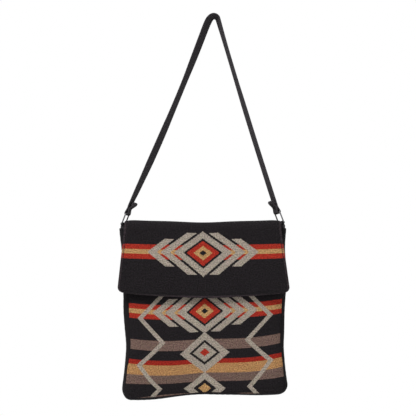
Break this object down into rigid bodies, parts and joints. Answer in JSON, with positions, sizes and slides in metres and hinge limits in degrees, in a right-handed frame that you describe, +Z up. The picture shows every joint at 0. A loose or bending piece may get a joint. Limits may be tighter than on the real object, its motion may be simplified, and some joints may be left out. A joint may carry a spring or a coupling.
{
  "type": "flap shoulder bag",
  "caption": "Flat shoulder bag of striped wool with a fold-over flap, a sewn gusset and a webbing strap looped through wire rings.",
  "frame": {"origin": "underside of the strap at its highest point, where it hangs over a peg or a shoulder", "axes": "+Z up along the hang, +X to the right seen from the front, -Y out of the flap's face"},
  "size_m": [0.3233, 0.0541, 0.7372],
  "materials": {
    "wool": "felted wool blanket cloth, black with woven red, gold, grey and taupe bands",
    "twill": "plain black wool twill",
    "lining": "smooth black cotton lining",
    "webbing": "black ribbed cotton webbing",
    "nickel": "polished nickel-plated wire"
  },
  "bodies": {
    "root": {"front_panel": "wool", "back_panel": "wool", "gusset": "twill", "lining_front": "lining", "lining_back": "lining", "lining_gusset": "lining", "flap": "wool", "flap_facing": "twill", "snap_socket": "nickel", "snap_stud": "nickel", "left_ring": "nickel", "right_ring": "nickel", "left_tab": "webbing", "right_tab": "webbing", "strap": "webbing"}
  },
  "joints": []
}
